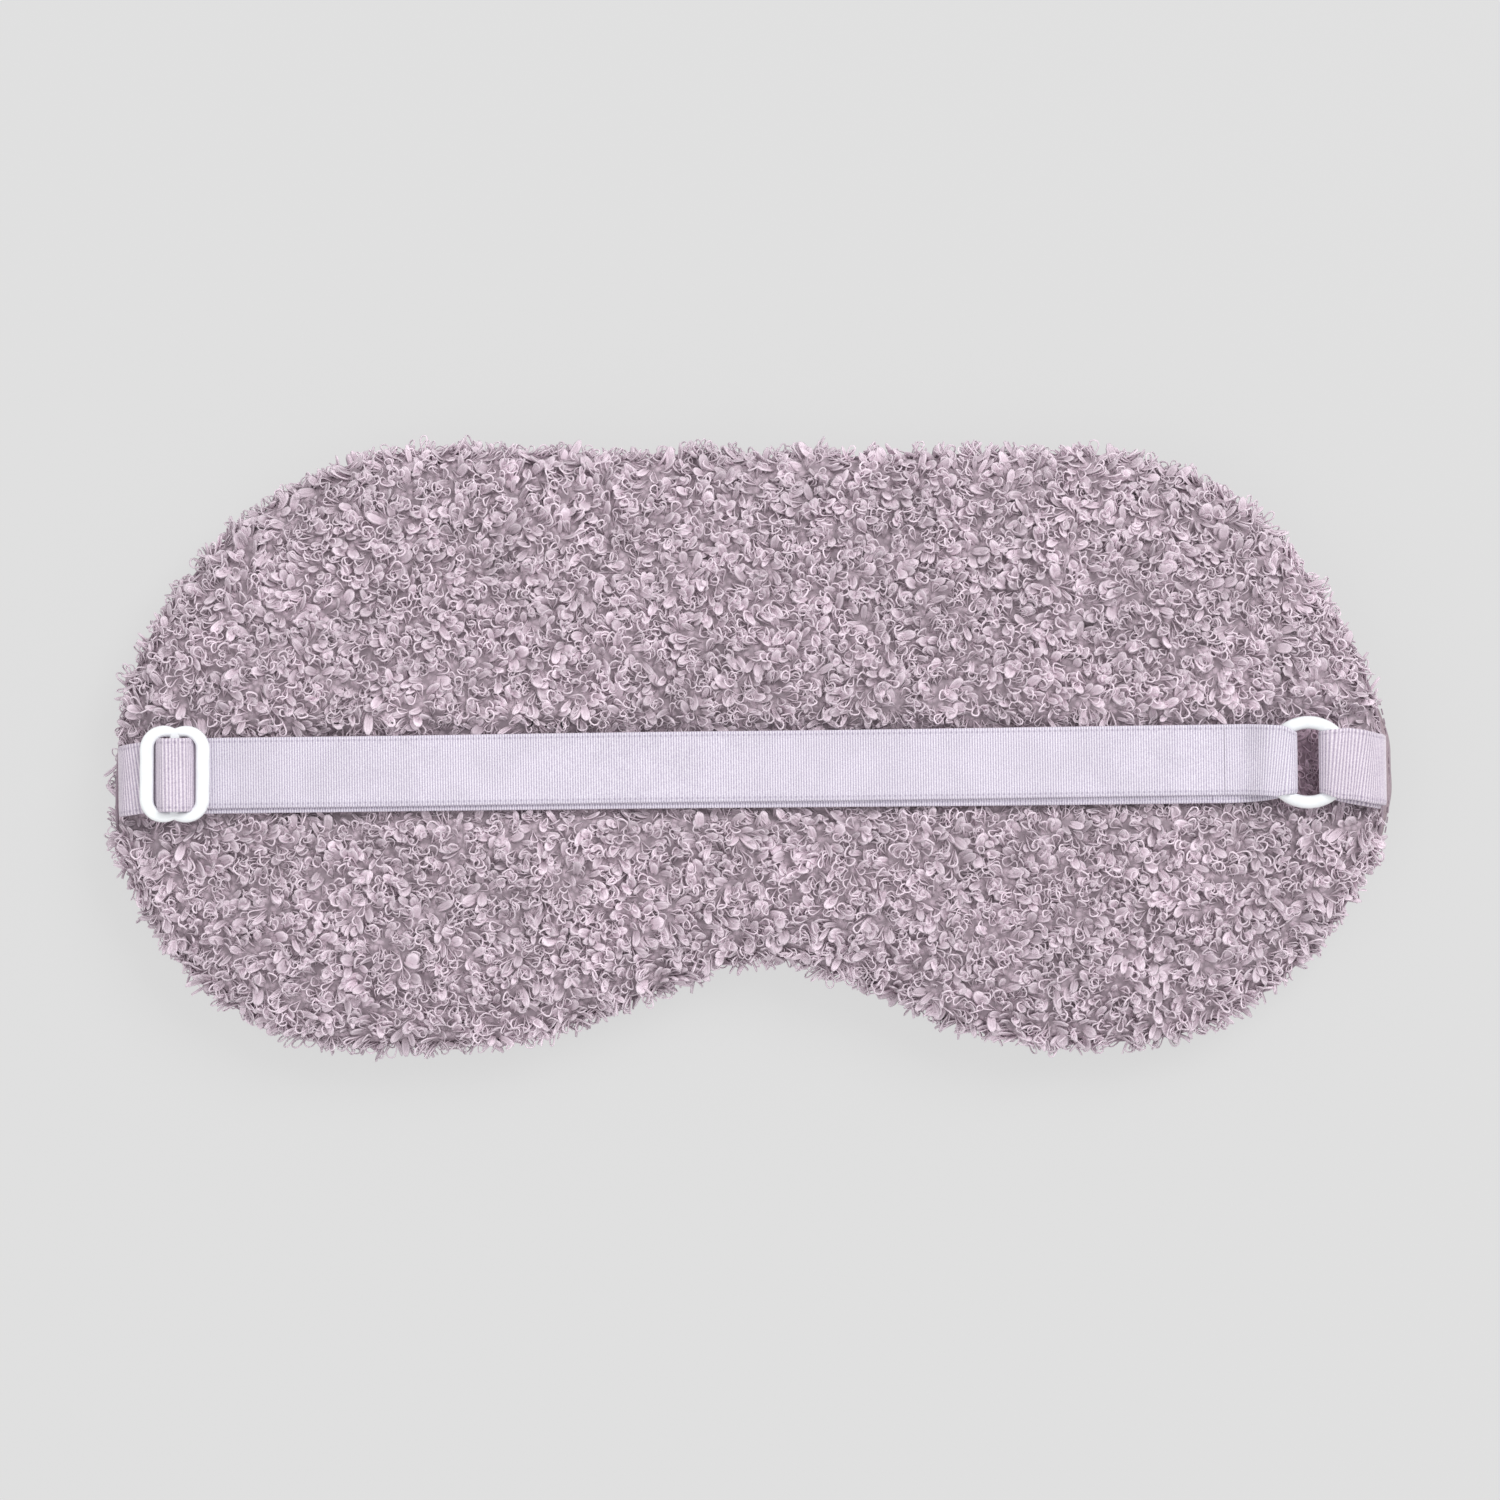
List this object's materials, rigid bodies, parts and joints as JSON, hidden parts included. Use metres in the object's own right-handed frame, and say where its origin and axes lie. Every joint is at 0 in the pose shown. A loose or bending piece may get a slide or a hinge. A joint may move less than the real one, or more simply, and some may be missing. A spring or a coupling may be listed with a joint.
{
  "type": "sleep mask",
  "caption": "Padded two-eye sleep mask in looped terry with an adjustable ribbed elastic strap, a sliding figure-8 adjuster and a ring.",
  "frame": {"origin": "centre of the mask's outline, on the face it rests on", "axes": "+X along the mask's length, +Y towards the brow edge, +Z from the outer face to the wearer's face"},
  "size_m": [0.217, 0.102, 0.0221],
  "materials": {
    "terry_back": "matte",
    "terry_front": "matte",
    "wadding": "matte",
    "lining": "matte",
    "elastic": "satin",
    "thread": "satin",
    "coated_metal": "gloss"
  },
  "bodies": {
    "mask": {"back_cover": "terry_back", "front_cover": "terry_front", "padding": "wadding", "blackout_lining": "lining", "seam_thread": "thread", "closing_stitches": "thread", "strap_sewn_end": "elastic", "tab_sewn_end": "elastic", "left_anchor_stitches": "thread", "right_anchor_stitches": "thread"},
    "strap_left": {"strap_tail": "elastic", "strap_weave": "elastic", "strap_run_left": "elastic", "strap_return_left": "elastic"},
    "strap_right": {"strap_run_right": "elastic", "strap_return_right": "elastic", "ring_turn": "elastic", "ring_tab": "elastic"},
    "slider_set": {"slider": "coated_metal", "slider_loop": "elastic", "loop_stitches": "thread"},
    "ring": {"ring": "coated_metal"}
  },
  "joints": [
    {"name": "strap_pull", "type": "hinge", "parent": "mask", "child": "strap_left", "pos_m": [-0.10749, -0.00406, 0.009], "axis": [0.0136, -0.9999, 0], "range_deg": [0, 16], "stiffness_Nm_per_rad": 0.1, "deforming": ["strap_tail"]},
    {"name": "strap_bow", "type": "hinge", "parent": "strap_left", "child": "strap_right", "pos_m": [0, -0.0026, -0.00611], "axis": [0.0136, -0.9999, 0], "range_deg": [-32, 0], "deforming": ["ring_tab"]},
    {"name": "slider_slide", "type": "slide", "parent": "strap_left", "child": "slider_set", "axis": [0.9999, 0.0136, 0], "range_m": [0, 0.068], "deforming": ["strap_weave", "strap_return_left"]},
    {"name": "ring_spin", "type": "hinge", "parent": "strap_right", "child": "ring", "pos_m": [0.0942, -0.00192, 0.0188], "axis": [0, 0, 1], "continuous": true}
  ],
  "couplings": [
    {"joint": "strap_bow", "follows": "strap_pull", "ratio": -2}
  ]
}
